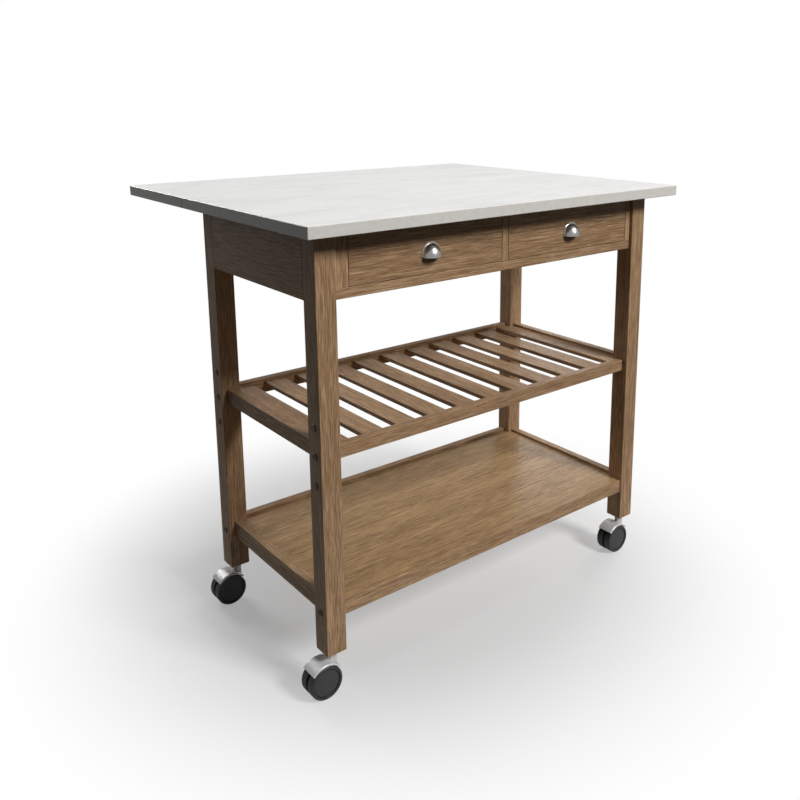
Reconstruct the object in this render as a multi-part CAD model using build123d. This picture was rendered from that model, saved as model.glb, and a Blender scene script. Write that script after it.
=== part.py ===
from build123d import *
import os
from math import atan2, cos, degrees, hypot, radians, sin

# Kitchen cart with a drop leaf, two drawers, a slatted shelf, a panel shelf and four casters.
# Millimetres, +Z up, drawers on the -Y side, origin on the floor under the middle of the box.

# Overall size with the leaf raised
WIDTH = 965.2
DEPTH = 800.1
HEIGHT = 914.4

# Worktop and leaf
TOP_THICK = 22.0
MAIN_TOP_DEPTH = 502.0
SEAM_GAP = 0.6
TOP_ARRIS = 1.0

# Base frame
SIDE_OVERHANG = 42.0
FRONT_OVERHANG = 55.0
BASE_DEPTH = 446.0
LEG = 42.0
CASTER_HEIGHT = 88.0
LEG_ROUND = 1.6
ARRIS = 0.7
BOARD = 18.0
APRON_HEIGHT = 123.5
REAR_APRON_INSET = 18.0

# Face frame round the drawers
FACE_INSET = 8.0
FACE_RAIL_HEIGHT = 19.0
LEFT_STILE = 30.6
CENTRE_STILE = 16.0
RIGHT_STILE = 16.2

# Drawers
FRONT_GAP = 1.0
TOP_GAP = 2.5
BOX_CLEARANCE = 1.0
BOX_SIDE = 14.0
BOX_DEPTH = 364.0
BOX_BOTTOM_LIFT = 4.0
BOX_HEIGHT = 88.0
PANEL_THICK = 5.0
PANEL_LIFT = 8.0
PANEL_HOUSING = 6.0
BEARER_HEIGHT = 70.0
RUNNER_HEIGHT = 12.0
RUNNER_REACH = 6.5
RUNNER_SLACK = 0.3

# Shelves
RAIL_PROUD = 6.0
RAIL_BOLT_LIFT = 13.0
SIDE_RAIL_INSET = 13.0
REAR_RAIL_INSET = 8.0
SLAT_SHELF_TOP = 497.0
SLAT_FRONT_RAIL_HEIGHT = 26.0
SLAT_FRONT_INSET = 12.0
SLAT_COUNT = 11
SLAT_GAP = 31.2
SLAT_THICK = 9.0
PANEL_SHELF_TOP = 189.5
PANEL_FRONT_RAIL_HEIGHT = 30.0
PANEL_FRONT_INSET = 4.0
PANEL_FRONT_RAIL = 26.0
PANEL_LIP = 3.0
PANEL_SHELF_THICK = 12.0
HOUSING = 5.0

# Connector bolts in the legs, and the spare holes that let the slatted shelf move up or down
BOLT_HEAD_R = 7.0
BOLT_HEAD_THICK = 2.0
BOLT_SHANK_R = 3.0
BOLT_REACH = 30.0
HEX_KEY = 4.0
SPARE_PITCH = 55.0
PLUG_DEPTH = 8.0

# Cup pulls
PULL_R = 21.0
PULL_HEIGHT = 25.0
PULL_LIFT = 34.5
PULL_WALL = 1.6
PULL_FLANGE = 2.6
PULL_FLANGE_THICK = 1.8
PULL_LIP = 2.6
PULL_LIP_THICK = 1.4
POST_R = 3.2
POST_SPAN = 24.0
POST_LIFT = 10.0
POST_BORE_DEPTH = 6.5
PULL_SCREW_R = 2.0
PULL_SCREW_HEAD_R = 4.0
PULL_SCREW_HEAD_THICK = 2.5

# Leaf hinges
HINGE_AT = (-350.0, 0.0, 350.0)
HINGE_LENGTH = 60.0
KNUCKLES = 5
KNUCKLE_R = 4.0
KNUCKLE_DROP = 0.3
KNUCKLE_GAP = 0.3
HINGE_PLATE = 2.0
HINGE_PLATE_WIDTH = 16.0
HINGE_PIN_R = 2.0
RUNNING_CLEARANCE = 0.05

# Folding braces under the leaf
BRACE_AT = (-215.0, 215.0)
BRACE_PLATE = 2.5
BRACE_LAYER_GAP = 0.4
BRACE_OFFSET = 9.5
BRACE_WALL_DROP = 55.0
BRACE_LEAF_REACH = 130.0
BRACE_SLACK = 1.04
BRACE_LOWER_SHARE = 0.255
LINK_WIDTH = 14.0
RIVET_R = 3.0
RIVET_HEAD_R = 5.0
RIVET_HEAD = 1.0
FLANGE_WIDTH = 26.0
FLANGE_LENGTH = 56.0

# Twin-wheel casters
WHEEL_R = 34.0
WHEEL_WIDTH = 17.0
WHEEL_SPACE = 6.0
WHEEL_SHOULDER = 3.0
WHEEL_CORE_R = 28.0
WHEEL_CORE_DEPTH = 4.0
WHEEL_HUB_R = 9.0
COVER_R = 27.0
COVER_RISE = 1.6
COVER_RIM_STEP = 1.0
TRAIL = 23.0
AXLE_R = 3.0
AXLE_LENGTH = 26.0
HOOD_CLEARANCE = 1.5
HOOD_WALL = 3.5
HOOD_FROM, HOOD_TO = 40.0, 138.0
WEB_THICK = 4.0
WEB_HUB_R = 8.0
SWIVEL_BOSS_R = 9.0
SWIVEL_CLEARANCE = 0.5
SWIVEL_PIN_R = 4.0
SWIVEL_PIN_LENGTH = 15.0
STEM_FLANGE_R = 13.0
STEM_FLANGE_THICK = 2.5
STEM_LENGTH = 30.0

# Places worked out from the sizes above
TOP_UNDER = HEIGHT - TOP_THICK
FRONT_EDGE = -DEPTH / 2
SEAM_Y = FRONT_EDGE + MAIN_TOP_DEPTH + SEAM_GAP / 2
BASE_X = WIDTH / 2 - SIDE_OVERHANG
LEG_IN_X = BASE_X - LEG
BASE_FRONT = FRONT_EDGE + FRONT_OVERHANG
BASE_BACK = BASE_FRONT + BASE_DEPTH
LEG_FRONT_IN = BASE_FRONT + LEG
LEG_BACK_IN = BASE_BACK - LEG
APRON_BOTTOM = TOP_UNDER - APRON_HEIGHT
REAR_APRON_BACK = BASE_BACK - REAR_APRON_INSET
FACE_FRONT = BASE_FRONT + FACE_INSET
FACE_BACK = FACE_FRONT + BOARD
FACE_RAIL_TOP = APRON_BOTTOM + FACE_RAIL_HEIGHT
SIDE_RAIL_OUT = BASE_X - SIDE_RAIL_INSET
SIDE_RAIL_IN = SIDE_RAIL_OUT - BOARD
REAR_RAIL_BACK = BASE_BACK - REAR_RAIL_INSET
REAR_RAIL_FRONT = REAR_RAIL_BACK - BOARD
OPENING_LEFT = -LEG_IN_X + LEFT_STILE
OPENING_RIGHT = LEG_IN_X - RIGHT_STILE
OPENING_WIDTH = (OPENING_RIGHT - OPENING_LEFT - CENTRE_STILE) / 2
DIVIDER_LEFT = OPENING_LEFT + OPENING_WIDTH
DIVIDER_RIGHT = DIVIDER_LEFT + CENTRE_STILE
OPENINGS = {
    "drawer_left": (OPENING_LEFT, DIVIDER_LEFT),
    "drawer_right": (DIVIDER_RIGHT, OPENING_RIGHT),
}
BOX_BOTTOM = FACE_RAIL_TOP + BOX_BOTTOM_LIFT
RUNNER_Z = BOX_BOTTOM + BOX_HEIGHT / 2
LEG_X = BASE_X - LEG / 2
LEG_FRONT_Y = BASE_FRONT + LEG / 2
LEG_BACK_Y = BASE_BACK - LEG / 2
HINGE_Z = TOP_UNDER - KNUCKLE_R - KNUCKLE_DROP
LEGS = {
    "front_left": (-LEG_X, LEG_FRONT_Y),
    "front_right": (LEG_X, LEG_FRONT_Y),
    "rear_left": (-LEG_X, LEG_BACK_Y),
    "rear_right": (LEG_X, LEG_BACK_Y),
}
SLAT_BOLT_Z = SLAT_SHELF_TOP - SLAT_FRONT_RAIL_HEIGHT + RAIL_BOLT_LIFT
PANEL_BOLT_Z = PANEL_SHELF_TOP - PANEL_FRONT_RAIL_HEIGHT + RAIL_BOLT_LIFT

nodes = {}


def block(x0, x1, y0, y1, z0, z1):
    """A box from its six limits."""
    return Pos((x0 + x1) / 2, (y0 + y1) / 2, (z0 + z1) / 2) * Box(x1 - x0, y1 - y0, z1 - z0)


def board(x0, x1, y0, y1, z0, z1, arris=ARRIS):
    """A sawn board with its sharp edges eased."""
    solid = block(x0, x1, y0, y1, z0, z1)
    return chamfer(solid.edges(), arris)


def rod_x(x0, x1, y, z, radius):
    """A round bar along X."""
    return Pos((x0 + x1) / 2, y, z) * Rot(0, 90, 0) * Cylinder(radius, abs(x1 - x0))


def rod_y(x, y0, y1, z, radius):
    """A round bar along Y."""
    return Pos(x, (y0 + y1) / 2, z) * Rot(90, 0, 0) * Cylinder(radius, abs(y1 - y0))


def rod_z(x, y, z0, z1, radius):
    """A round bar along Z."""
    return Pos(x, y, (z0 + z1) / 2) * Cylinder(radius, abs(z1 - z0))


def group(solids):
    """Like pieces that share one node, each still a solid of its own."""
    return Compound(list(solids))


def bolt_places():
    """Each connector bolt: the side of the cart that it is on, its Y and its height."""
    for side in (-1, 1):
        for y in (LEG_FRONT_Y, LEG_BACK_Y):
            for z in (SLAT_BOLT_Z, PANEL_BOLT_Z):
                yield side, y, z


def spare_places():
    """Each spare shelf hole: the side of the cart that it is on, its Y and its height."""
    for side in (-1, 1):
        for y in (LEG_FRONT_Y, LEG_BACK_Y):
            for step in (-1, 1):
                yield side, y, SLAT_BOLT_Z + step * SPARE_PITCH


def bolt_bores():
    """Round bars that bore the legs and the rail ends for the connector bolts."""
    return [rod_x(side * BASE_X, side * (LEG_IN_X - BOLT_REACH), y, z, BOLT_SHANK_R)
            for side, y, z in bolt_places()]


# Worktop
nodes["worktop"] = board(-WIDTH / 2, WIDTH / 2, FRONT_EDGE, FRONT_EDGE + MAIN_TOP_DEPTH,
                         TOP_UNDER, HEIGHT, TOP_ARRIS)
nodes["drop_leaf"] = board(-WIDTH / 2, WIDTH / 2, FRONT_EDGE + MAIN_TOP_DEPTH + SEAM_GAP, DEPTH / 2,
                           TOP_UNDER, HEIGHT, TOP_ARRIS)


# Legs, bored for the bolts, for the spare shelf heights and for the caster stems
def leg(x, y):
    side = 1 if x > 0 else -1
    post = block(x - LEG / 2, x + LEG / 2, y - LEG / 2, y + LEG / 2, CASTER_HEIGHT, TOP_UNDER)
    post = fillet(post.edges().filter_by(Axis.Z), LEG_ROUND)
    post = chamfer(post.edges().group_by(Axis.Z)[0], ARRIS)
    post -= rod_z(x, y, CASTER_HEIGHT, CASTER_HEIGHT + STEM_LENGTH, SWIVEL_PIN_R)
    for z in (SLAT_BOLT_Z, PANEL_BOLT_Z):
        post -= rod_x(side * BASE_X, side * LEG_IN_X, y, z, BOLT_SHANK_R)
    for step in (-1, 1):
        z = SLAT_BOLT_Z + step * SPARE_PITCH
        post -= rod_x(side * BASE_X, side * (BASE_X - BOLT_REACH), y, z, BOLT_SHANK_R)
    return post


for place, (x, y) in LEGS.items():
    nodes["leg_" + place] = leg(x, y)

# Aprons under the top
nodes["apron_left"] = board(-BASE_X, -BASE_X + BOARD, LEG_FRONT_IN, LEG_BACK_IN, APRON_BOTTOM, TOP_UNDER)
nodes["apron_right"] = board(BASE_X - BOARD, BASE_X, LEG_FRONT_IN, LEG_BACK_IN, APRON_BOTTOM, TOP_UNDER)
nodes["apron_rear"] = board(-LEG_IN_X, LEG_IN_X, REAR_APRON_BACK - BOARD, REAR_APRON_BACK,
                            APRON_BOTTOM, TOP_UNDER)

# Face frame
nodes["face_rail"] = board(-LEG_IN_X, LEG_IN_X, FACE_FRONT, FACE_BACK, APRON_BOTTOM, FACE_RAIL_TOP)
nodes["face_stiles"] = group(
    board(x0, x1, FACE_FRONT, FACE_BACK, FACE_RAIL_TOP, TOP_UNDER)
    for x0, x1 in ((-LEG_IN_X, OPENING_LEFT), (DIVIDER_LEFT, DIVIDER_RIGHT), (OPENING_RIGHT, LEG_IN_X)))


# Bearers from the stiles to the rear apron, and the runner strips that the drawers slide on
def bearer(x0, x1):
    return board(x0, x1, FACE_BACK, REAR_APRON_BACK - BOARD,
                 RUNNER_Z - BEARER_HEIGHT / 2, RUNNER_Z + BEARER_HEIGHT / 2)


def runner(x, inward):
    """One strip on the bearer face at x, reaching inward into the drawer side's groove."""
    x0, x1 = sorted((x, x + inward * RUNNER_REACH))
    return board(x0, x1, FACE_BACK + 3, REAR_APRON_BACK - BOARD - 5,
                 RUNNER_Z - RUNNER_HEIGHT / 2, RUNNER_Z + RUNNER_HEIGHT / 2)


bearers = [bearer(OPENING_LEFT - BOARD, OPENING_LEFT), bearer(DIVIDER_LEFT, DIVIDER_RIGHT),
           bearer(OPENING_RIGHT, LEG_IN_X)]
strips = [runner(x, inward) for left, right in OPENINGS.values() for x, inward in ((left, 1), (right, -1))]
nodes["drawer_runners"] = group(bearers + strips)


# Drawers
def drawer(name, left, right):
    """A five-piece drawer box in its opening, with its pull and the two screws that hold it."""
    middle = (left + right) / 2
    out_left, out_right = left + BOX_CLEARANCE, right - BOX_CLEARANCE
    in_left, in_right = out_left + BOX_SIDE, out_right - BOX_SIDE
    back = FACE_BACK + BOX_DEPTH
    box_top = BOX_BOTTOM + BOX_HEIGHT
    panel_z = BOX_BOTTOM + PANEL_LIFT
    panel = block(in_left - PANEL_HOUSING, in_right + PANEL_HOUSING,
                  FACE_BACK - PANEL_HOUSING, back - ARRIS, panel_z, panel_z + PANEL_THICK)
    pull_z = FACE_RAIL_TOP + PULL_LIFT

    front = board(left + FRONT_GAP, right - FRONT_GAP, FACE_FRONT, FACE_BACK,
                  FACE_RAIL_TOP + FRONT_GAP, TOP_UNDER - TOP_GAP) - panel
    for x in (middle - POST_SPAN / 2, middle + POST_SPAN / 2):
        front -= rod_y(x, FACE_FRONT, FACE_BACK, pull_z + POST_LIFT, PULL_SCREW_R)
    nodes[name + "_front"] = front

    def side(x0, x1, groove_x, inward):
        g0, g1 = sorted((groove_x, groove_x + inward * (RUNNER_REACH + 1 - BOX_CLEARANCE)))
        groove = block(g0, g1, FACE_BACK, back,
                       RUNNER_Z - RUNNER_HEIGHT / 2 - RUNNER_SLACK,
                       RUNNER_Z + RUNNER_HEIGHT / 2 + RUNNER_SLACK)
        return board(x0, x1, FACE_BACK, back, BOX_BOTTOM, box_top) - groove - panel

    nodes[name + "_side_left"] = side(out_left, in_left, out_left, 1)
    nodes[name + "_side_right"] = side(in_right, out_right, out_right, -1)
    nodes[name + "_back"] = board(in_left, in_right, back - BOX_SIDE, back,
                                  panel_z + PANEL_THICK, box_top)
    nodes[name + "_bottom"] = panel
    nodes[name + "_pull"] = cup_pull(middle, pull_z)
    nodes[name + "_pull_screws"] = group([
        pull_screw(x, pull_z + POST_LIFT)
        for x in (middle - POST_SPAN / 2, middle + POST_SPAN / 2)
    ])


def half_ellipse(rx, rz):
    """The upper half of an ellipse, standing in the XZ plane."""
    outline = Line((-rx, 0), (rx, 0)) + EllipticalCenterArc((0, 0), rx, rz, 0, arc_size=180)
    return Plane.XZ * make_face(outline)


def quarter_dome(radius, height):
    """A dome that is round in plan, cut off flat at its widest and at the drawer front."""
    quarter = Sphere(radius) & block(-radius, radius, -radius, 0, 0, radius)
    return scale(quarter, (1, 1, height / radius))


def cup_pull(x, z):
    """A bin pull: a thin quarter dome on a flange, open underneath, with two screw posts."""
    outer = quarter_dome(PULL_R, PULL_HEIGHT)
    inner = quarter_dome(PULL_R - PULL_WALL, PULL_HEIGHT - PULL_WALL)
    flange = extrude(half_ellipse(PULL_R + PULL_FLANGE, PULL_HEIGHT + PULL_FLANGE), PULL_FLANGE_THICK)
    lip = Pos(PULL_R - PULL_LIP / 2, -PULL_LIP_THICK / 2) * Rectangle(PULL_LIP, PULL_LIP_THICK)
    pull = outer + flange
    pull -= inner
    pull += revolve(Plane.XZ * lip, Axis.Z, -180)
    for side in (-1, 1):
        post_x = side * POST_SPAN / 2
        post = rod_y(post_x, -PULL_R, 0, POST_LIFT, POST_R) & outer
        pull += post
        pull -= rod_y(post_x, -POST_BORE_DEPTH, 0, POST_LIFT, PULL_SCREW_R)
    return Pos(x, FACE_FRONT, z) * pull


def pull_screw(x, z):
    """A machine screw from inside the drawer, through the front, into the pull's post."""
    shank = rod_y(x, FACE_FRONT - POST_BORE_DEPTH, FACE_BACK, z, PULL_SCREW_R)
    head = rod_y(x, FACE_BACK, FACE_BACK + PULL_SCREW_HEAD_THICK, z, PULL_SCREW_HEAD_R)
    head = chamfer(head.edges().group_by(Axis.Y)[-1], 0.9)
    slot = block(x - PULL_SCREW_HEAD_R, x + PULL_SCREW_HEAD_R,
                 FACE_BACK + 1.5, FACE_BACK + PULL_SCREW_HEAD_THICK, z - 0.5, z + 0.5)
    return shank + head - slot


for name, (left, right) in OPENINGS.items():
    drawer(name, left, right)


# Shelf frames: four rails between the legs, bored at the ends for the bolts
def shelf_rails(prefix, low, top, front_y, front_thick, insert):
    """A front rail flush with the slats or the panel, and side and rear rails that stand above them."""
    rim = top + RAIL_PROUD
    rails = {
        "front": board(-LEG_IN_X, LEG_IN_X, front_y, front_y + front_thick, low, top),
        "rear": board(-LEG_IN_X, LEG_IN_X, REAR_RAIL_FRONT, REAR_RAIL_BACK, low, rim),
        "left": board(-SIDE_RAIL_OUT, -SIDE_RAIL_IN, LEG_FRONT_IN, LEG_BACK_IN, low, rim),
        "right": board(SIDE_RAIL_IN, SIDE_RAIL_OUT, LEG_FRONT_IN, LEG_BACK_IN, low, rim),
    }
    for place in ("front", "rear"):
        for bore in bolt_bores():
            if low < bore.center().Z < top:
                rails[place] -= bore
        for piece in insert:
            rails[place] -= piece
    for place, rail in rails.items():
        nodes[prefix + "_rail_" + place] = rail


def round_the_legs(piece):
    """Notch a slat or a panel round each leg."""
    for x, y in LEGS.values():
        piece -= block(x - LEG / 2, x + LEG / 2, y - LEG / 2, y + LEG / 2, CASTER_HEIGHT, TOP_UNDER)
    return piece


def slats(front_y):
    """Evenly spaced slats that run from the front rail to the rear rail."""
    slat_width = (2 * SIDE_RAIL_IN - (SLAT_COUNT - 1) * SLAT_GAP) / SLAT_COUNT
    row = []
    for i in range(SLAT_COUNT):
        x0 = -SIDE_RAIL_IN + i * (slat_width + SLAT_GAP)
        slat = board(x0, x0 + slat_width, front_y + BOARD - HOUSING, REAR_RAIL_FRONT + HOUSING,
                     SLAT_SHELF_TOP - SLAT_THICK, SLAT_SHELF_TOP)
        row.append(round_the_legs(slat) if i in (0, SLAT_COUNT - 1) else slat)
    return row


SLAT_FRONT_Y = BASE_FRONT + SLAT_FRONT_INSET
slat_row = slats(SLAT_FRONT_Y)
shelf_rails("slat_shelf", SLAT_SHELF_TOP - SLAT_FRONT_RAIL_HEIGHT, SLAT_SHELF_TOP, SLAT_FRONT_Y, BOARD,
            slat_row)
nodes["shelf_slats"] = group(slat_row)

PANEL_FRONT_Y = BASE_FRONT + PANEL_FRONT_INSET
shelf_panel = round_the_legs(block(-SIDE_RAIL_IN, SIDE_RAIL_IN,
                                   PANEL_FRONT_Y + PANEL_LIP, REAR_RAIL_FRONT + HOUSING,
                                   PANEL_SHELF_TOP - PANEL_SHELF_THICK, PANEL_SHELF_TOP))
shelf_rails("panel_shelf", PANEL_SHELF_TOP - PANEL_FRONT_RAIL_HEIGHT, PANEL_SHELF_TOP, PANEL_FRONT_Y,
            PANEL_FRONT_RAIL, [shelf_panel])
nodes["shelf_panel"] = shelf_panel


# Connector bolts, and the plugs in the spare holes
def bolt_head(side, y, z):
    head = rod_x(side * BASE_X, side * (BASE_X + BOLT_HEAD_THICK), y, z, BOLT_HEAD_R)
    rim = head.edges().group_by(Axis.X)
    return chamfer(rim[-1] if side > 0 else rim[0], 0.9)


def connector_bolt(side, y, z):
    shank = rod_x(side * BASE_X, side * (LEG_IN_X - BOLT_REACH), y, z, BOLT_SHANK_R)
    key = extrude(Plane((side * (BASE_X + BOLT_HEAD_THICK), y, z), x_dir=(0, 1, 0), z_dir=(-side, 0, 0))
                  * RegularPolygon(HEX_KEY / 2, 6), 1.5)
    return bolt_head(side, y, z) + shank - key


def hole_plug(side, y, z):
    peg = rod_x(side * BASE_X, side * (BASE_X - PLUG_DEPTH), y, z, BOLT_SHANK_R)
    return bolt_head(side, y, z) + peg


nodes["leg_bolts"] = group(
    [connector_bolt(*place) for place in bolt_places()] + [hole_plug(*place) for place in spare_places()])


# Butt hinges of the leaf: knuckles that belong in turn to the worktop and to the leaf, on one pin
def knuckle_spans():
    """The X limits of each knuckle, from the hinge's middle."""
    pitch = HINGE_LENGTH / KNUCKLES
    for i in range(KNUCKLES):
        start = -HINGE_LENGTH / 2 + i * pitch
        yield i, start + KNUCKLE_GAP / 2, start + pitch - KNUCKLE_GAP / 2


def hinge_plate(x, toward, parity, bore_r):
    """A plate screwed under the top on one side of the seam, with its own set of knuckles."""
    inner = SEAM_Y + toward * (KNUCKLE_R + KNUCKLE_GAP)
    outer = SEAM_Y + toward * HINGE_PLATE_WIDTH
    y0, y1 = sorted((inner, outer))
    plate = block(x - HINGE_LENGTH / 2, x + HINGE_LENGTH / 2, y0, y1, TOP_UNDER - HINGE_PLATE, TOP_UNDER)
    for i, start, end in knuckle_spans():
        if i % 2 == parity:
            t0, t1 = sorted((SEAM_Y + toward * 0.3, inner))
            tongue = block(x + start, x + end, t0, t1, TOP_UNDER - HINGE_PLATE, TOP_UNDER)
            plate += tongue + rod_x(x + start, x + end, SEAM_Y, HINGE_Z, KNUCKLE_R)
    plate -= rod_x(x - HINGE_LENGTH / 2, x + HINGE_LENGTH / 2, SEAM_Y, HINGE_Z, bore_r)
    screw_y = SEAM_Y + toward * (HINGE_PLATE_WIDTH - 5)
    for step in (-1, 0, 1):
        screw_x = x + step * HINGE_LENGTH / 3
        plate -= rod_z(screw_x, screw_y, TOP_UNDER - HINGE_PLATE, TOP_UNDER, 1.8)
    return plate


fixed_plates = [hinge_plate(x, -1, 0, HINGE_PIN_R) for x in HINGE_AT]
pins = [rod_x(x - HINGE_LENGTH / 2, x + HINGE_LENGTH / 2, SEAM_Y, HINGE_Z, HINGE_PIN_R) for x in HINGE_AT]
nodes["hinge_fixed_halves"] = group(fixed_plates + pins)
nodes["hinge_leaf_halves"] = group(
    hinge_plate(x, 1, 1, HINGE_PIN_R + RUNNING_CLEARANCE) for x in HINGE_AT)

# Folding braces. Each is a wall plate on the rear apron, a short lower link, a long upper link and
# a plate under the leaf. The four layers lie side by side in X, so the links fold past each other.
WALL_PIVOT = (SEAM_Y - BRACE_OFFSET, HINGE_Z - BRACE_WALL_DROP)
LEAF_PIVOT = (SEAM_Y + BRACE_LEAF_REACH, HINGE_Z - BRACE_OFFSET)
PIVOT_SPAN = hypot(LEAF_PIVOT[0] - WALL_PIVOT[0], LEAF_PIVOT[1] - WALL_PIVOT[1])
LOWER_LINK = PIVOT_SPAN * BRACE_SLACK * BRACE_LOWER_SHARE
UPPER_LINK = PIVOT_SPAN * BRACE_SLACK * (1 - BRACE_LOWER_SHARE)


def knee_point():
    """Where the two links meet with the leaf raised, just above the straight line between pivots."""
    along = (LOWER_LINK ** 2 - UPPER_LINK ** 2 + PIVOT_SPAN ** 2) / (2 * PIVOT_SPAN)
    rise = (LOWER_LINK ** 2 - along ** 2) ** 0.5
    slope = atan2(LEAF_PIVOT[1] - WALL_PIVOT[1], LEAF_PIVOT[0] - WALL_PIVOT[0])
    return (WALL_PIVOT[0] + along * cos(slope) - rise * sin(slope),
            WALL_PIVOT[1] + along * sin(slope) + rise * cos(slope))


KNEE = knee_point()


def layer(x, number):
    """The X limits of one of the brace's four layers."""
    start = x + number * (BRACE_PLATE + BRACE_LAYER_GAP)
    return start, start + BRACE_PLATE


def link(x0, x1, start, end, bore_r):
    """A flat bar with round ends, bored at its start."""
    length = hypot(end[0] - start[0], end[1] - start[1])
    tilt = degrees(atan2(end[1] - start[1], end[0] - start[0]))
    outline = Pos(length / 2, 0) * SlotCenterToCenter(length, LINK_WIDTH)
    outline -= Circle(bore_r)
    plane = Plane((x0, start[0], start[1]), x_dir=(0, cos(radians(tilt)), sin(radians(tilt))), z_dir=(1, 0, 0))
    return extrude(plane * outline, x1 - x0)


def rivet_head(x, outward, pivot):
    """A low domed head on the face at x."""
    head = rod_x(x, x + outward * RIVET_HEAD, pivot[0], pivot[1], RIVET_HEAD_R)
    rim = head.edges().group_by(Axis.X)
    return chamfer(rim[-1] if outward > 0 else rim[0], 0.6)


def wall_plate(x):
    x0, x1 = layer(x, 0)
    y, z = WALL_PIVOT
    flange = block(x1 - FLANGE_WIDTH, x1, REAR_APRON_BACK, REAR_APRON_BACK + HINGE_PLATE,
                   z - FLANGE_LENGTH / 2, z + FLANGE_LENGTH / 2)
    ear = rod_x(x0, x1, y, z, LINK_WIDTH / 2)
    ear += block(x0, x1, REAR_APRON_BACK, y, z - LINK_WIDTH / 2, z + LINK_WIDTH / 2)
    for step in (-1, 1):
        flange -= rod_y(x1 - FLANGE_WIDTH / 2 - 2, REAR_APRON_BACK, REAR_APRON_BACK + HINGE_PLATE,
                        z + step * FLANGE_LENGTH / 3, 2.2)
    rivet = rod_x(x0, layer(x, 1)[1], y, z, RIVET_R)
    return flange + ear + rivet + rivet_head(x0, -1, WALL_PIVOT)


def leaf_plate(x):
    x0, x1 = layer(x, 3)
    y, z = LEAF_PIVOT
    flange = block(x0, x0 + FLANGE_WIDTH, y - FLANGE_LENGTH / 2, y + FLANGE_LENGTH / 2,
                   TOP_UNDER - HINGE_PLATE, TOP_UNDER)
    ear = rod_x(x0, x1, y, z, LINK_WIDTH / 2)
    ear += block(x0, x1, y - LINK_WIDTH / 2, y + LINK_WIDTH / 2, z, TOP_UNDER)
    for step in (-1, 1):
        flange -= rod_z(x0 + FLANGE_WIDTH / 2 + 2, y + step * FLANGE_LENGTH / 3,
                        TOP_UNDER - HINGE_PLATE, TOP_UNDER, 2.2)
    rivet = rod_x(layer(x, 2)[0], x1, y, z, RIVET_R)
    return flange + ear + rivet + rivet_head(x1, 1, LEAF_PIVOT)


def lower_link(x):
    x0, x1 = layer(x, 1)
    return link(x0, x1, WALL_PIVOT, KNEE, RIVET_R + RUNNING_CLEARANCE) + rivet_head(x0, -1, KNEE)


def upper_link(x):
    x0, x1 = layer(x, 2)
    return link(x0, x1, LEAF_PIVOT, KNEE, RIVET_R + RUNNING_CLEARANCE) + rivet_head(x1, 1, KNEE)


nodes["brace_wall_plates"] = group(wall_plate(x) for x in BRACE_AT)
nodes["brace_lower_links"] = group(lower_link(x) for x in BRACE_AT)
nodes["brace_upper_links"] = group(upper_link(x) for x in BRACE_AT)
nodes["brace_leaf_plates"] = group(leaf_plate(x) for x in BRACE_AT)


# Casters, each trailing towards -X as if the cart had just been pushed to the right
def caster_stem(x, y):
    """A threaded stem in the leg, its flange under the leg, and the pin that the hood turns on."""
    thread = rod_z(x, y, CASTER_HEIGHT, CASTER_HEIGHT + STEM_LENGTH, SWIVEL_PIN_R)
    flange_low = CASTER_HEIGHT - STEM_FLANGE_THICK
    flange = rod_z(x, y, flange_low, CASTER_HEIGHT, STEM_FLANGE_R)
    flange = chamfer(flange.edges().sort_by(Axis.Z)[0], 0.8)
    pin = rod_z(x, y, flange_low - SWIVEL_PIN_LENGTH, flange_low, SWIVEL_PIN_R)
    return thread + flange + pin


nodes["caster_stems"] = group(caster_stem(x, y) for x, y in LEGS.values())


def hood():
    """The hood round the axle at the origin: a crowned fender, a web between the wheels and a boss."""
    inner_r = WHEEL_R + HOOD_CLEARANCE
    outer_r = inner_r + HOOD_WALL
    half = WHEEL_SPACE / 2 + WHEEL_WIDTH
    section = Rectangle(outer_r - inner_r, 2 * half, align=(Align.MIN, Align.CENTER))
    section = Pos(inner_r, 0) * section
    section = fillet(section.vertices().group_by(Axis.X)[-1], HOOD_WALL - 0.5)
    fender = Rot(0, -HOOD_FROM, 0) * revolve(section, Axis((0, 0, 0), (0, -1, 0)), HOOD_TO - HOOD_FROM)
    start = (cos(radians(HOOD_FROM)), sin(radians(HOOD_FROM)))
    end = (cos(radians(HOOD_TO)), sin(radians(HOOD_TO)))
    web_r = inner_r + 1
    outline = Line((0, 0), (web_r * start[0], web_r * start[1]))
    outline += CenterArc((0, 0), web_r, HOOD_FROM, HOOD_TO - HOOD_FROM)
    outline += Line((web_r * end[0], web_r * end[1]), (0, 0))
    web = extrude(Plane.XZ * make_face(outline), WEB_THICK / 2, both=True)
    web += rod_y(0, -WEB_THICK / 2, WEB_THICK / 2, 0, WEB_HUB_R)
    boss_top = CASTER_HEIGHT - STEM_FLANGE_THICK - SWIVEL_CLEARANCE - WHEEL_R
    boss = rod_z(TRAIL, 0, 0, boss_top, SWIVEL_BOSS_R)
    boss = fillet(boss.edges().sort_by(Axis.Z)[-1], 1.5)
    boss -= rod_y(0, -half, half, 0, inner_r)
    shell = fender + web + boss
    shell -= rod_y(0, -WEB_THICK, WEB_THICK, 0, AXLE_R + RUNNING_CLEARANCE)
    pin_low = boss_top - SWIVEL_PIN_LENGTH
    shell -= rod_z(TRAIL, 0, pin_low, boss_top, SWIVEL_PIN_R + RUNNING_CLEARANCE)
    return shell


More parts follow.
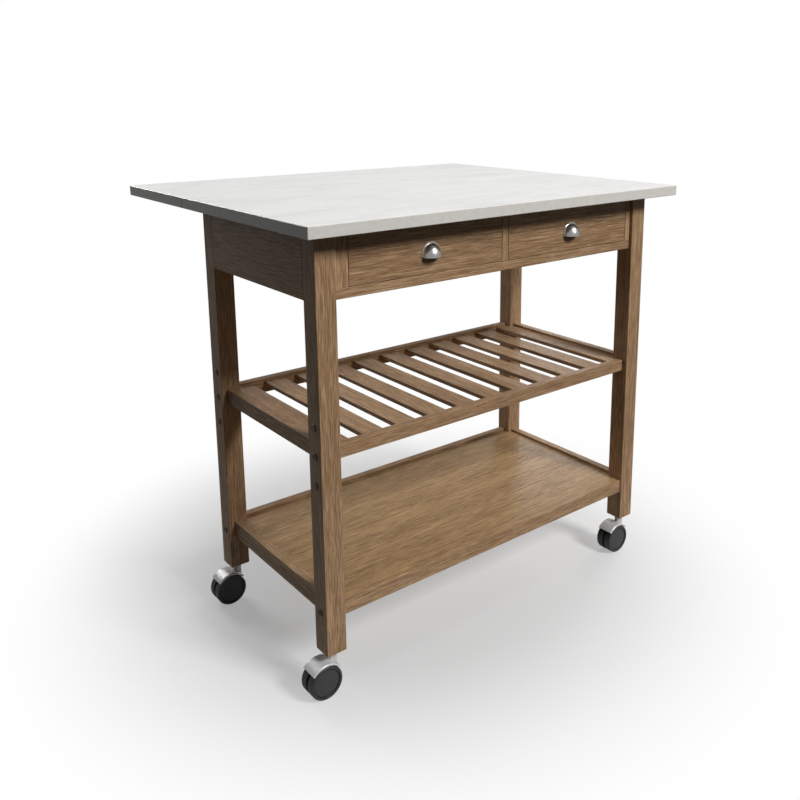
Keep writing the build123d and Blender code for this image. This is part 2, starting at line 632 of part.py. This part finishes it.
def wheel():
    """The front wheel of the pair, turned about the axle: a round-shouldered tread, a raised rim and
    a shallow domed cover outside, and a hub in a recess inside."""
    near = -WHEEL_SPACE / 2
    far = near - WHEEL_WIDTH
    bore_end = -AXLE_LENGTH / 2
    core = near - WHEEL_CORE_DEPTH
    cover_sweep = 2 * degrees(atan2(COVER_RISE, COVER_R))
    cover_radius = COVER_R / sin(radians(cover_sweep))
    cover_edge = far + COVER_RISE + 0.2
    outline = Polyline((0, bore_end), (AXLE_R, bore_end), (AXLE_R, near), (WHEEL_HUB_R, near),
                       (WHEEL_HUB_R, core), (WHEEL_CORE_R, core), (WHEEL_CORE_R, near),
                       (WHEEL_R - WHEEL_SHOULDER / 2, near), (WHEEL_R, near - WHEEL_SHOULDER / 2),
                       (WHEEL_R, far + WHEEL_SHOULDER))
    outline += RadiusArc((WHEEL_R, far + WHEEL_SHOULDER), (WHEEL_R - WHEEL_SHOULDER, far), WHEEL_SHOULDER)
    outline += Polyline((WHEEL_R - WHEEL_SHOULDER, far), (COVER_R + COVER_RIM_STEP, far), (COVER_R, cover_edge))
    outline += CenterArc((0, cover_edge - COVER_RISE + cover_radius), cover_radius, 270, cover_sweep)
    outline += Line((0, cover_edge - COVER_RISE), (0, bore_end))
    return revolve(make_face(outline), Axis.Y)


caster_hood = hood()
front_wheel = wheel()
rear_wheel = mirror(front_wheel, Plane.XZ)
axle = rod_y(0, -AXLE_LENGTH / 2, AXLE_LENGTH / 2, 0, AXLE_R)
for place, (x, y) in LEGS.items():
    at_axle = Pos(x - TRAIL, y, WHEEL_R)
    nodes["caster_" + place + "_hood"] = at_axle * caster_hood
    nodes["caster_" + place + "_axle"] = at_axle * axle
    nodes["caster_" + place + "_wheel_front"] = at_axle * front_wheel
    nodes["caster_" + place + "_wheel_rear"] = at_axle * rear_wheel

os.makedirs("parts", exist_ok=True)
for name, shape in nodes.items():
    export_step(shape, "parts/" + name + ".step")
print(len(nodes), "nodes written")
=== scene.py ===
from math import cos, pi, radians, sin

import bmesh
import bpy
from mathutils import Matrix, Vector


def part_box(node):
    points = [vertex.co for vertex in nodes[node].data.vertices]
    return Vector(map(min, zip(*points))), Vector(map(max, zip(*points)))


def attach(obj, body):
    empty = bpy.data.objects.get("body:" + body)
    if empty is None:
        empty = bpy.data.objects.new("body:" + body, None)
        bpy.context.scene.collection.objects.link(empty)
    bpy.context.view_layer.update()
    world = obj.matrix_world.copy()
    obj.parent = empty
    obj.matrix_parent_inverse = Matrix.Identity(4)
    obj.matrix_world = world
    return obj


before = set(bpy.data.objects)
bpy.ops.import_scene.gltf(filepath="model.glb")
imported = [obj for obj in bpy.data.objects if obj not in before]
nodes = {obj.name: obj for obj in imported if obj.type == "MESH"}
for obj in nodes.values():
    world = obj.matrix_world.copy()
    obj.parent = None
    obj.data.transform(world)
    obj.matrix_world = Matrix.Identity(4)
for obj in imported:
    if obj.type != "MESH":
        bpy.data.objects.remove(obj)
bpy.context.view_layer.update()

# Legs
# Four square posts of oak-grained rubberwood, stained a greyed brown and lacquered to a satin. Their
# grain runs upright, and every long edge is eased with a pass of the plane.
MM = 0.001
CORNERS = ("front_left", "front_right", "rear_left", "rear_right")
GRAIN_TURNS = {"x": (0.0, 0.0, 0.0), "y": (0.0, 0.0, pi / 2), "z": (0.0, pi / 2, 0.0)}
STAIN = [(0.0, (0.170, 0.094, 0.044, 1.0)), (0.5, (0.350, 0.213, 0.114, 1.0)),
         (1.0, (0.560, 0.372, 0.218, 1.0))]
LACQUER_SHEEN = 0.25
LACQUER_ROUGHNESS = 0.36
DARK_GRAIN_ROUGHER, PORES_ROUGHER = 0.14, 0.1
# Each layer of a pattern: its cells per metre along and across, its octaves, their roughness and warp
FIGURE = ((1.8, 24.0, 24.0), 3.0, 0.55, 0.4)
BANDS = ((14.0, 420.0, 420.0), 3.0, 0.7)
STREAKS = ((30.0, 850.0, 850.0), 2.0, 0.7)
PORES = ((50.0, 1100.0, 1100.0), 2.0, 0.6)
VEINS = ((10.0, 340.0, 340.0), 2.0, 0.6)
FIGURE_SHARE, BAND_SHARE, STREAK_SHARE = 0.16, 0.46, 0.38
NOISE_MEAN = 0.5
TONE_EDGES = (0.40, 0.60)
PORE_EDGES = (0.36, 0.48)
VEIN_EDGES = (0.0, 0.07)
PORE_SHADE, VEIN_SHADE = 0.2, 0.4
TONE_LIFT = 0.06
BOARD_CONTRAST = 0.05
RELIEF_HEIGHT, RELIEF_STRENGTH = 0.25 * MM, 0.6


class Flow:
    """A value that changes over a surface. Python's arithmetic on it adds the Math nodes."""

    def __init__(self, recipe, socket):
        self.recipe = recipe
        self.socket = socket

    def maths(self, operation, first, second):
        return self.recipe.node("Math", {"operation": operation}, {0: first, 1: second})

    def __add__(self, other):
        return self.maths("ADD", self, other)

    def __radd__(self, other):
        return self.maths("ADD", other, self)

    def __sub__(self, other):
        return self.maths("SUBTRACT", self, other)

    def __rsub__(self, other):
        return self.maths("SUBTRACT", other, self)

    def __mul__(self, other):
        return self.maths("MULTIPLY", self, other)

    def __rmul__(self, other):
        return self.maths("MULTIPLY", other, self)

    def __truediv__(self, other):
        return self.maths("DIVIDE", self, other)

    def __rtruediv__(self, other):
        return self.maths("DIVIDE", other, self)

    def __abs__(self):
        return self.maths("ABSOLUTE", self, 0.0)


class Recipe:
    """A tree of shader nodes, and the one method that makes any node in it."""

    def __init__(self, tree):
        self.tree = tree

    def node(self, kind, settings, sockets, output=0):
        """A node of a kind, with its settings, which come first, and its sockets' values or links."""
        made = self.tree.nodes.new("ShaderNode" + kind)
        for setting, value in settings.items():
            if setting == "stops":
                self.set_stops(made.color_ramp, value)
            else:
                setattr(made, setting, value)
        for socket, value in sockets.items():
            self.feed(made.inputs[socket], value)
        return Flow(self, made.outputs[output])

    def set_stops(self, ramp, stops):
        while len(ramp.elements) < len(stops):
            ramp.elements.new(0.5)
        for element, (place, colour) in zip(ramp.elements, stops):
            element.position = place
            element.color = colour

    def feed(self, socket, value):
        if isinstance(value, Flow):
            self.tree.links.new(value.socket, socket)
        else:
            socket.default_value = value


class Finish(Recipe):
    """The recipe of one material, with its shader and the steps that the finishes share."""

    def __init__(self, name, **shader_values):
        self.material = bpy.data.materials.new(name)
        self.material.use_nodes = True
        super().__init__(self.material.node_tree)
        self.shader = self.tree.nodes["Principled BSDF"]
        self.shade(**shader_values)

    def shade(self, **sockets):
        for socket, value in sockets.items():
            self.feed(self.shader.inputs[socket.replace("_", " ")], value)

    def place(self, turn=(0.0, 0.0, 0.0), shift=(0.0, 0.0, 0.0)):
        """Coordinates in metres that stay with the piece, turned and shifted."""
        here = self.node("TexCoord", {}, {}, "Object")
        return self.node("Mapping", {}, {"Vector": here, "Rotation": turn, "Location": shift})

    def noise(self, place, cells, octaves, roughness=0.5, warp=0.0):
        stretched = self.node("Mapping", {}, {"Vector": place, "Scale": cells})
        return self.node("TexNoise", {}, {"Vector": stretched, "Scale": 1.0, "Detail": octaves,
                                          "Roughness": roughness, "Distortion": warp}, "Fac")

    def ramp(self, value, stops):
        return self.node("ValToRGB", {"stops": stops}, {"Fac": value}, "Color")

    def spread(self, value, low, high):
        """The value stretched so that low gives 0 and high gives 1, and held beyond them."""
        return self.node("MapRange", {}, {"Value": value, "From Min": low, "From Max": high})

    def bump(self, height, distance, strength):
        return self.node("Bump", {}, {"Height": height, "Distance": distance, "Strength": strength},
                         "Normal")


def stained_wood(name, grain, shift, stain=STAIN, gloss=LACQUER_ROUGHNESS, boards=None, lighter=0.0):
    """Stained open-grained wood with its grain along one axis, cut from its own place in the log and made
    lighter or darker by a little. Boards side by side in one node are given as their start and spacing
    along X, and each gets a cut of its own."""
    finish = Finish(name, Specular_IOR_Level=LACQUER_SHEEN)
    here = finish.place(GRAIN_TURNS[grain], shift)
    own_tone = lighter
    if boards:
        start, spacing = boards
        along = finish.node("SeparateXYZ", {}, {0: finish.place()}, "X")
        number = finish.node("Math", {"operation": "FLOOR"}, {0: (along - start) / spacing})
        luck = finish.node("TexWhiteNoise", {"noise_dimensions": "1D"}, {"W": number}, "Color")
        here = finish.node("VectorMath", {"operation": "ADD"}, {0: here, 1: luck})
        own_tone = (finish.node("SeparateXYZ", {}, {0: luck}, "Z") - NOISE_MEAN) * BOARD_CONTRAST + lighter
    figure = finish.noise(here, *FIGURE)
    bands = finish.noise(here, *BANDS)
    streaks = finish.noise(here, *STREAKS)
    pores = finish.spread(finish.noise(here, *PORES), *PORE_EDGES)
    veins = finish.spread(abs(finish.noise(here, *VEINS) - NOISE_MEAN), *VEIN_EDGES)
    layers = figure * FIGURE_SHARE + bands * BAND_SHARE + streaks * STREAK_SHARE
    tone = finish.spread(layers + own_tone, *TONE_EDGES)
    shaded = tone * (pores * PORE_SHADE + (1 - PORE_SHADE)) * (veins * VEIN_SHADE + (1 - VEIN_SHADE))
    finish.shade(Base_Color=finish.ramp(shaded + TONE_LIFT, stain),
                 Roughness=gloss + DARK_GRAIN_ROUGHER * (1 - tone) + PORES_ROUGHER * (1 - pores),
                 Normal=finish.bump((streaks + pores) / 2, RELIEF_HEIGHT, RELIEF_STRENGTH))
    return finish.material


def dress(node, material):
    """Gives a piece of the frame its finish."""
    for slot in nodes[node].material_slots:
        slot.material = material


for number, corner in enumerate(CORNERS):
    dress("leg_" + corner, stained_wood("wood_leg_" + corner, "z", (0.3 * number, 0.11 * number, 0.0)))

# Aprons and drawer frame
# Wide boards close the sides and the back under the top, and a slim rail with three upright stiles frames
# the drawers. They are of the legs' wood, with the grain along each board.
for side, grain, cut in (("left", "y", (1.3, 0.2, 0.4)), ("right", "y", (2.1, 0.5, 0.1)),
                         ("rear", "x", (0.7, 0.3, 0.9))):
    dress("apron_" + side, stained_wood("wood_apron_" + side, grain, cut))
dress("face_rail", stained_wood("wood_face_rail", "x", (1.7, 0.8, 0.3)))
dress("face_stiles", stained_wood("wood_face_stiles", "z", (0.9, 0.6, 0.2)))

# Drawer runners
# Hidden bearers of the same wood run back from the stiles and carry hardwood strips, which the grooves in
# the drawer sides slide on.
dress("drawer_runners", stained_wood("wood_runners", "y", (3.1, 0.4, 0.6)))

# Slatted shelf
# Eleven slats are housed in the front and rear rails, and side rails join these to the legs. All are of
# the legs' wood, the slats with their grain from front to back.
SLAT_COUNT = 11
SLAT_GAP = 31.2 * MM
RAIL_GRAINS = {"front": "x", "rear": "x", "left": "y", "right": "y"}


def dress_rails(shelf, cuts):
    """Gives the rails round a shelf their wood, each cut from its own place in the log."""
    for (side, grain), cut in zip(RAIL_GRAINS.items(), cuts):
        dress(shelf + "_shelf_rail_" + side, stained_wood("wood_" + shelf + "_rail_" + side, grain, cut))


dress_rails("slat", ((2.6, 0.9, 0.5), (3.4, 0.1, 0.8), (4.2, 0.7, 0.2), (5.3, 0.2, 0.6)))
slats_low, slats_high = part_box("shelf_slats")
slat_spacing = (slats_high[0] - slats_low[0] + SLAT_GAP) / SLAT_COUNT
dress("shelf_slats", stained_wood("wood_slats", "y", (6.1, 0.5, 0.9),
                                  boards=(slats_low[0] - SLAT_GAP / 2, slat_spacing)))

# Panel shelf
# A veneered panel lies in a frame of four rails. Its stain is more golden than the solid wood's, and its
# lacquer is smoother, so that it shows the legs as soft reflections.
PANEL_GLOSS = 0.26
PANEL_STAIN = [(0.0, (0.168, 0.094, 0.038, 1.0)), (0.5, (0.347, 0.213, 0.098, 1.0)),
               (1.0, (0.556, 0.372, 0.187, 1.0))]
dress_rails("panel", ((4.7, 0.3, 0.1), (5.8, 0.6, 0.4), (6.6, 0.8, 0.7), (7.2, 0.1, 0.3)))
dress("shelf_panel", stained_wood("wood_shelf_panel", "x", (7.9, 0.4, 0.5), PANEL_STAIN, PANEL_GLOSS))

# Bolts and plugs
# Low round heads on the outer faces of the legs: connector bolts with a hex socket where the rails meet
# the legs, and plugs in the spare holes that let the slatted shelf sit higher or lower. Black oxide steel.
BLACK_OXIDE = [(0.3, (0.055, 0.034, 0.020, 1.0)), (0.7, (0.095, 0.062, 0.038, 1.0))]
OXIDE_SPECKS = ((300.0, 300.0, 300.0), 3.0)


def plain_finish(name, pattern, colours, roughness, unevenness, **shader_values):
    """A finish whose colour and roughness follow one fine pattern."""
    finish = Finish(name, **shader_values)
    strength = finish.noise(finish.place(), *pattern)
    finish.shade(Base_Color=finish.ramp(strength, colours), Roughness=roughness + unevenness * strength)
    return finish.material


dress("leg_bolts", plain_finish("black_oxide_steel", OXIDE_SPECKS, BLACK_OXIDE, roughness=0.38,
                                unevenness=0.2, Metallic=0.6))

# Drawers
# Each front is one board of the legs' wood with its grain level, with a little painted shade for the shade
# under the top's overhang. The box behind it is of bare pale plywood, with a thin bottom in grooves.
# Painted shade: the fronts' wood is made a shade darker, standing in for the shadow of the top's overhang.
FRONT_PAINTED_SHADE = -0.03
BARE_PLY = [(0.0, (0.380, 0.262, 0.160, 1.0)), (0.5, (0.560, 0.425, 0.285, 1.0)),
            (1.0, (0.680, 0.545, 0.390, 1.0))]
PLY_ROUGHNESS = 0.55
for number, drawer in enumerate(("drawer_left", "drawer_right")):
    dress(drawer + "_front", stained_wood("wood_" + drawer + "_front", "x",
                                          (8.3 + number, 0.4, 0.2 + 0.3 * number), lighter=FRONT_PAINTED_SHADE))
    for piece, grain in (("_side_left", "y"), ("_side_right", "y"), ("_back", "x"), ("_bottom", "x")):
        dress(drawer + piece, stained_wood("ply_" + drawer + piece, grain, (2.3 * number, 0.7, 0.1),
                                           BARE_PLY, PLY_ROUGHNESS))

# Cup pulls
# Thin pressed half domes with a flange, satin nickel plated and faintly brushed from side to side. Two
# zinc plated machine screws hold each one from inside the drawer.
NICKEL = [(0.2, (0.56, 0.55, 0.53, 1.0)), (0.8, (0.70, 0.69, 0.67, 1.0))]
BRUSHING = ((40.0, 900.0, 900.0), 2.0)
ZINC = [(0.3, (0.50, 0.51, 0.52, 1.0)), (0.7, (0.66, 0.67, 0.68, 1.0))]
SPANGLES = ((160.0, 160.0, 160.0), 3.0, 0.6, 0.4)
nickel_plate = plain_finish("satin_nickel", BRUSHING, NICKEL, roughness=0.22,
                            unevenness=0.12, Metallic=1.0)
zinc_plate = plain_finish("zinc_plated_steel", SPANGLES, ZINC, roughness=0.28,
                          unevenness=0.18, Metallic=1.0)
for drawer in ("drawer_left", "drawer_right"):
    dress(drawer + "_pull", nickel_plate)
    dress(drawer + "_pull_screws", zinc_plate)

# Worktop and drop leaf
# Wood-based board under a white stone-look laminate, with long faint grey streaks, a fine mottle and a
# satin surface. A warm grey strip bands the edges, and the leaf carries the top's pattern over the seam.
SHEET_WHITE = [(0.0, (0.770, 0.770, 0.755, 1.0)), (0.45, (0.845, 0.845, 0.830, 1.0)),
               (1.0, (0.890, 0.890, 0.878, 1.0))]
EDGE_BAND = [(0.3, (0.640, 0.622, 0.570, 1.0)), (0.7, (0.730, 0.712, 0.662, 1.0))]
CLOUDS = ((5.0, 14.0, 14.0), 6.0, 0.62, 0.8)
MOTTLE = ((60.0, 90.0, 90.0), 4.0, 0.65)
FINE_STREAKS = ((8.0, 160.0, 160.0), 3.0, 0.6)
CLOUD_SHARE, MOTTLE_SHARE, FINE_STREAK_SHARE = 0.5, 0.25, 0.25
SHEET_EDGES = (0.38, 0.62)
LEVEL_EDGES = (0.75, 0.9)
LAMINATE_SHEEN = 0.4
LAMINATE_ROUGHNESS, LAMINATE_UNEVENNESS = 0.30, 0.12
laminate = Finish("white_laminate", Specular_IOR_Level=LAMINATE_SHEEN)
sheet_place = laminate.place()
mottle = laminate.noise(sheet_place, *MOTTLE)
sheet_layers = (laminate.noise(sheet_place, *CLOUDS) * CLOUD_SHARE + mottle * MOTTLE_SHARE
                + laminate.noise(sheet_place, *FINE_STREAKS) * FINE_STREAK_SHARE)
sheet = laminate.ramp(laminate.spread(sheet_layers, *SHEET_EDGES), SHEET_WHITE)
band = laminate.ramp(mottle, EDGE_BAND)
upward = laminate.node("SeparateXYZ", {}, {0: laminate.node("TexCoord", {}, {}, "Normal")}, "Z")
level = laminate.spread(upward * upward, *LEVEL_EDGES)
laminate.shade(Base_Color=laminate.node("Mix", {"data_type": "RGBA"}, {0: level, 6: band, 7: sheet}, 2),
               Roughness=LAMINATE_ROUGHNESS + LAMINATE_UNEVENNESS * mottle)
dress("worktop", laminate.material)
dress("drop_leaf", laminate.material)

# Leaf hinges and braces
# Three butt hinges and two folding braces of zinc plated steel strip. Each plate is fixed up under the top
# or onto the rear apron by pan head wood screws with a cross recess.
HINGE_MIDDLES = (-350.0 * MM, 0.0, 350.0 * MM)
HINGE_SCREW_STEP = 20.0 * MM
HINGE_SCREW_OFFSET = 11.0 * MM
BRACE_STARTS = (-215.0 * MM, 215.0 * MM)
BRACE_LAYER, BRACE_LAYERS = 2.9 * MM, 3
STRIP = 2.5 * MM
FLANGE_LENGTH = 56.0 * MM
FLANGE_SCREW_REACH = 15.0 * MM
FLANGE_SCREW_STEP = FLANGE_LENGTH / 3
PLATE = 2.0 * MM
SCREW_HEAD_RADIUS = 3.4 * MM
SCREW_HEAD_RISE = 1.5 * MM
HEAD_SWELLS = (0.0, 0.35, 0.7, 1.0)
HEAD_SIDES = 24
RECESS_ARM, RECESS_HALF_WIDTH, RECESS_DEPTH = 2.0 * MM, 0.5 * MM, 0.9 * MM
RECESS_TAPER = 0.6
SCREW_TURN = 0.9
DOWN, BACK = (0.0, 0.0, -1.0), (0.0, 1.0, 0.0)
for node in ("hinge_fixed_halves", "hinge_leaf_halves", "brace_wall_plates", "brace_lower_links",
             "brace_upper_links", "brace_leaf_plates"):
    dress(node, zinc_plate)


def head_ring(mesh, radius, height):
    """The points of a circle round the screw's axis."""
    turns = [2 * pi * side / HEAD_SIDES for side in range(HEAD_SIDES)]
    return [mesh.verts.new((radius * cos(turn), radius * sin(turn), height)) for turn in turns]


def ring_edges(mesh, ring):
    """The edges of a closed ring of points, made where they are missing."""
    return [mesh.edges.get(pair) or mesh.edges.new(pair) for pair in zip(ring, ring[1:] + ring[:1])]


def join_rings(mesh, lower, upper):
    """A band of faces between two rings with as many points."""
    for side, point in enumerate(lower):
        after = (side + 1) % len(lower)
        mesh.faces.new((point, lower[after], upper[after], upper[side]))


def cross_outline():
    """The corners of the cross recess, quarter by quarter."""
    quarter = [(RECESS_ARM, -RECESS_HALF_WIDTH), (RECESS_ARM, RECESS_HALF_WIDTH),
               (RECESS_HALF_WIDTH, RECESS_HALF_WIDTH)]
    turns = [pi / 2 * number for number in range(4)]
    return [(x * cos(turn) - y * sin(turn), x * sin(turn) + y * cos(turn))
            for turn in turns for x, y in quarter]


def screw_head(mesh, facing_out):
    """One pan head at the origin, its recess facing out, turned and placed by a matrix."""
    rings = [head_ring(mesh, SCREW_HEAD_RADIUS * cos(swell), SCREW_HEAD_RISE * sin(swell))
             for swell in HEAD_SWELLS]
    for lower, upper in zip(rings, rings[1:]):
        join_rings(mesh, lower, upper)
    mesh.faces.new(rings[0][::-1])
    rim_height = rings[-1][0].co.z
    cross = [mesh.verts.new((x, y, rim_height)) for x, y in cross_outline()]
    cross_floor = [mesh.verts.new((RECESS_TAPER * x, RECESS_TAPER * y, rim_height - RECESS_DEPTH))
                   for x, y in cross_outline()]
    rims = ring_edges(mesh, rings[-1]) + ring_edges(mesh, cross)
    bmesh.ops.triangle_fill(mesh, use_beauty=True, edges=rims)
    join_rings(mesh, cross_floor, cross)
    mesh.faces.new(cross_floor)
    made = [vertex for ring in rings + [cross, cross_floor] for vertex in ring]
    bmesh.ops.transform(mesh, matrix=facing_out, verts=made)


def screws(name, body, places, direction):
    """Screw heads that stand on a plate at the given places and point along a direction."""
    mesh = bmesh.new()
    turn = Vector(direction).to_track_quat("Z", "Y").to_matrix().to_4x4()
    for number, place in enumerate(places):
        screw_head(mesh, Matrix.Translation(place) @ turn @ Matrix.Rotation(SCREW_TURN * number, 4, "Z"))
    bmesh.ops.recalc_face_normals(mesh, faces=mesh.faces)
    piece = bpy.data.objects.new(name, bpy.data.meshes.new(name))
    mesh.to_mesh(piece.data)
    mesh.free()
    bpy.context.scene.collection.objects.link(piece)
    piece.data.materials.append(zinc_plate)
    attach(piece, body)


seam_y = (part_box("worktop")[1][1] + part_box("drop_leaf")[0][1]) / 2
plate_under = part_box("worktop")[0][2] - PLATE
for body, toward in (("frame", -1), ("leaf", 1)):
    screws("hinge_screws_" + body, body,
           [(middle + step * HINGE_SCREW_STEP, seam_y + toward * HINGE_SCREW_OFFSET, plate_under)
            for middle in HINGE_MIDDLES for step in (-1, 0, 1)], DOWN)
apron_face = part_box("apron_rear")[1][1] + PLATE
wall_plates_low, wall_plates_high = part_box("brace_wall_plates")
leaf_plates_low, leaf_plates_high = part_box("brace_leaf_plates")
wall_middle = (wall_plates_low[2] + wall_plates_high[2]) / 2
leaf_middle = (leaf_plates_low[1] + leaf_plates_high[1]) / 2
screws("brace_wall_screws", "frame",
       [(start + STRIP - FLANGE_SCREW_REACH, apron_face, wall_middle + step * FLANGE_SCREW_STEP)
        for start in BRACE_STARTS for step in (-1, 1)], BACK)
brace_width = BRACE_LAYERS * BRACE_LAYER
screws("brace_leaf_screws", "leaf",
       [(start + brace_width + FLANGE_SCREW_REACH, leaf_middle + step * FLANGE_SCREW_STEP, plate_under)
        for start in BRACE_STARTS for step in (-1, 1)], DOWN)

# Casters
# A zinc plated stem turns in a moulded silver-grey hood. The hood straddles two black nylon wheels on one
# steel axle, each with a grained cover pressed into it and painted shade, near black, in the groove round
# it.
SILVER_GREY = [(0.3, (0.60, 0.60, 0.60, 1.0)), (0.7, (0.70, 0.70, 0.70, 1.0))]
SILVER_GRAIN = ((500.0, 500.0, 500.0), 2.0)
WHEEL_RADIUS = 34.0 * MM
COVER_GREY = (0.043, 0.044, 0.046, 1.0)
RIM_GREY = (0.034, 0.035, 0.036, 1.0)
# Painted shade: the groove round the cover is coloured near black for the shade that falls in it.
GROOVE_PAINTED_SHADE = (0.006, 0.006, 0.006, 1.0)
TREAD_BLACK = (0.014, 0.014, 0.015, 1.0)
# Each ring's colour from a share of the wheel's radius
WHEEL_RINGS = [(0.0, COVER_GREY), (0.75, COVER_GREY), (0.78, GROOVE_PAINTED_SHADE), (0.81, GROOVE_PAINTED_SHADE),
               (0.84, RIM_GREY), (0.95, RIM_GREY), (0.99, TREAD_BLACK)]
RING_WANDER = 0.03
NYLON_GRAIN = ((700.0, 700.0, 700.0), 3.0)
NYLON_ROUGHNESS, NYLON_UNEVENNESS = 0.34, 0.16
NYLON_RELIEF_HEIGHT, NYLON_RELIEF_STRENGTH = 0.1 * MM, 0.5


def wheel_nylon(node):
    """Black nylon whose tone changes with the distance from the axle, which lies along Y."""
    low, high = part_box(node)
    middle = tuple((low[axis] + high[axis]) / 2 for axis in range(3))
    nylon = Finish("nylon_" + node)
    here = nylon.place()
    from_middle = nylon.node("VectorMath", {"operation": "SUBTRACT"}, {0: here, 1: middle})
    across = nylon.node("VectorMath", {"operation": "MULTIPLY"}, {0: from_middle, 1: (1.0, 0.0, 1.0)})
    radius = nylon.node("VectorMath", {"operation": "LENGTH"}, {0: across}, "Value")
    grain = nylon.noise(here, *NYLON_GRAIN)
    share = radius / WHEEL_RADIUS + RING_WANDER * (grain - NOISE_MEAN)
    nylon.shade(Base_Color=nylon.ramp(share, WHEEL_RINGS),
                Roughness=NYLON_ROUGHNESS + NYLON_UNEVENNESS * grain,
                Normal=nylon.bump(grain, NYLON_RELIEF_HEIGHT, NYLON_RELIEF_STRENGTH))
    return nylon.material


silver_plastic = plain_finish("silver_grey_plastic", SILVER_GRAIN, SILVER_GREY, roughness=0.3,
                              unevenness=0.15, Metallic=0.2)
dress("caster_stems", zinc_plate)
for corner in CORNERS:
    caster = "caster_" + corner
    dress(caster + "_hood", silver_plastic)
    dress(caster + "_axle", zinc_plate)
    for wheel in (caster + "_wheel_front", caster + "_wheel_rear"):
        dress(wheel, wheel_nylon(wheel))

# Floor
# A wide white floor that shows the cart's soft shadow near it and turns pure white further out, so that it
# meets the white background without a line. It is clear from below, for a look at the cart's underside.
FLOOR_SIZE = 60.0
FLOOR_WHITE = 0.44
FLOOR_GLOW = 0.32
FADE_FROM, FADE_TO = 0.40, 0.95
MIRRORED_WHITE = 0.40


def ray(recipe, kind):
    """Whether light is followed as one kind of ray, such as the camera's."""
    return recipe.node("LightPath", {}, {}, "Is " + kind + " Ray")


floor_mesh = bmesh.new()
bmesh.ops.create_grid(floor_mesh, x_segments=1, y_segments=1, size=FLOOR_SIZE / 2)
floor = bpy.data.objects.new("floor", bpy.data.meshes.new("floor"))
floor_mesh.to_mesh(floor.data)
floor_mesh.free()
bpy.context.scene.collection.objects.link(floor)
paper = Finish("white_paper", Base_Color=(FLOOR_WHITE, FLOOR_WHITE, FLOOR_WHITE, 1.0), Roughness=1.0,
               Specular_IOR_Level=0.0)
seen = ray(paper, "Camera") + ray(paper, "Glossy") * MIRRORED_WHITE
glow = paper.node("Emission", {}, {"Strength": seen * FLOOR_GLOW})
near = paper.node("AddShader", {}, {0: Flow(paper, paper.shader.outputs[0]), 1: glow})
white = paper.node("Emission", {}, {"Strength": seen})
from_cart = paper.node("VectorMath", {"operation": "LENGTH"}, {0: paper.place()}, "Value")
far = paper.node("MapRange", {"interpolation_type": "SMOOTHSTEP"},
                 {"Value": from_cart, "From Min": FADE_FROM, "From Max": FADE_TO})
above = paper.node("MixShader", {}, {0: far, 1: near, 2: white})
underneath = paper.node("NewGeometry", {}, {}, "Backfacing")
clear = paper.node("BsdfTransparent", {}, {})
paper.feed(paper.tree.nodes["Material Output"].inputs["Surface"],
           paper.node("MixShader", {}, {0: underneath, 1: above, 2: clear}))
floor.data.materials.append(paper.material)

# Studio light
# A broad softbox overhead and a strong one far in front give most of the light. A low one on the right with
# a small one beyond it, one behind, and a dim room fill the shadows. The camera sees the background white.
ROOM_LIGHT = 0.07
world = bpy.data.worlds.new("studio")
bpy.context.scene.world = world
world.use_nodes = True
room = Recipe(world.node_tree)
backdrop = room.tree.nodes["Background"]
backdrop.inputs["Color"].default_value = (1.0, 1.0, 1.0, 1.0)
mirrored = (ray(room, "Glossy") + ray(room, "Transmission")) * MIRRORED_WHITE
room.feed(backdrop.inputs["Strength"], ray(room, "Diffuse") * ROOM_LIGHT + mirrored + ray(room, "Camera"))


def softbox(name, width, place, aim, watts):
    """A square area lamp at a place in metres, turned towards its aim."""
    lamp = bpy.data.lights.new(name, "AREA")
    lamp.shape = "SQUARE"
    lamp.size = width
    lamp.energy = watts
    stand = bpy.data.objects.new(name, lamp)
    stand.location = place
    stand.visible_camera = False
    stand.rotation_mode = "QUATERNION"
    stand.rotation_quaternion = (Vector(place) - Vector(aim)).to_track_quat("Z", "Y")
    bpy.context.scene.collection.objects.link(stand)


softbox("softbox_over", width=1.8, place=(0.4, -0.1, 3.3), aim=(0.0, 0.0, 0.7), watts=29.0)
softbox("softbox_front", width=1.6, place=(1.4, -5.4, 4.6), aim=(0.0, 0.0, 0.6), watts=380.0)
softbox("softbox_side", width=0.8, place=(2.1, 0.2, 0.85), aim=(0.2, 0.0, 0.2), watts=15.0)
softbox("softbox_corner", width=0.35, place=(1.35, 0.8, 0.70), aim=(0.35, 0.0, 0.2), watts=1.2)
softbox("softbox_back", width=1.4, place=(-0.6, 3.4, 1.9), aim=(0.0, 0.0, 0.6), watts=58.0)

# Camera
# It stands in front on the left at the height of a person's chest. Its shift slides the frame down and to
# the right, as the photograph's framing does.
PICTURE = 800.0
SENSOR = 36.0
FOCAL_PIXELS = 861.1
CENTRE_PIXEL = (455.0, 275.0)
CAMERA_AZIMUTH, CAMERA_ELEVATION = radians(-39.66), radians(12.08)
CAMERA_DISTANCE = 1.985
CAMERA_AIM = Vector((0.0714, -0.1000, 0.7111))
camera = bpy.data.objects.new("camera", bpy.data.cameras.new("camera"))
bpy.context.scene.collection.objects.link(camera)
camera.data.sensor_width = SENSOR
camera.data.lens = FOCAL_PIXELS * SENSOR / PICTURE
camera.data.shift_x = (PICTURE / 2 - CENTRE_PIXEL[0]) / PICTURE
camera.data.shift_y = (CENTRE_PIXEL[1] - PICTURE / 2) / PICTURE
camera_back = Vector((sin(CAMERA_AZIMUTH) * cos(CAMERA_ELEVATION),
                      -cos(CAMERA_AZIMUTH) * cos(CAMERA_ELEVATION),
                      sin(CAMERA_ELEVATION)))
camera.location = CAMERA_AIM + camera_back * CAMERA_DISTANCE
camera.rotation_mode = "QUATERNION"
camera.rotation_quaternion = camera_back.to_track_quat("Z", "Y")
bpy.context.scene.camera = camera
bpy.context.scene.view_settings.view_transform = "Standard"
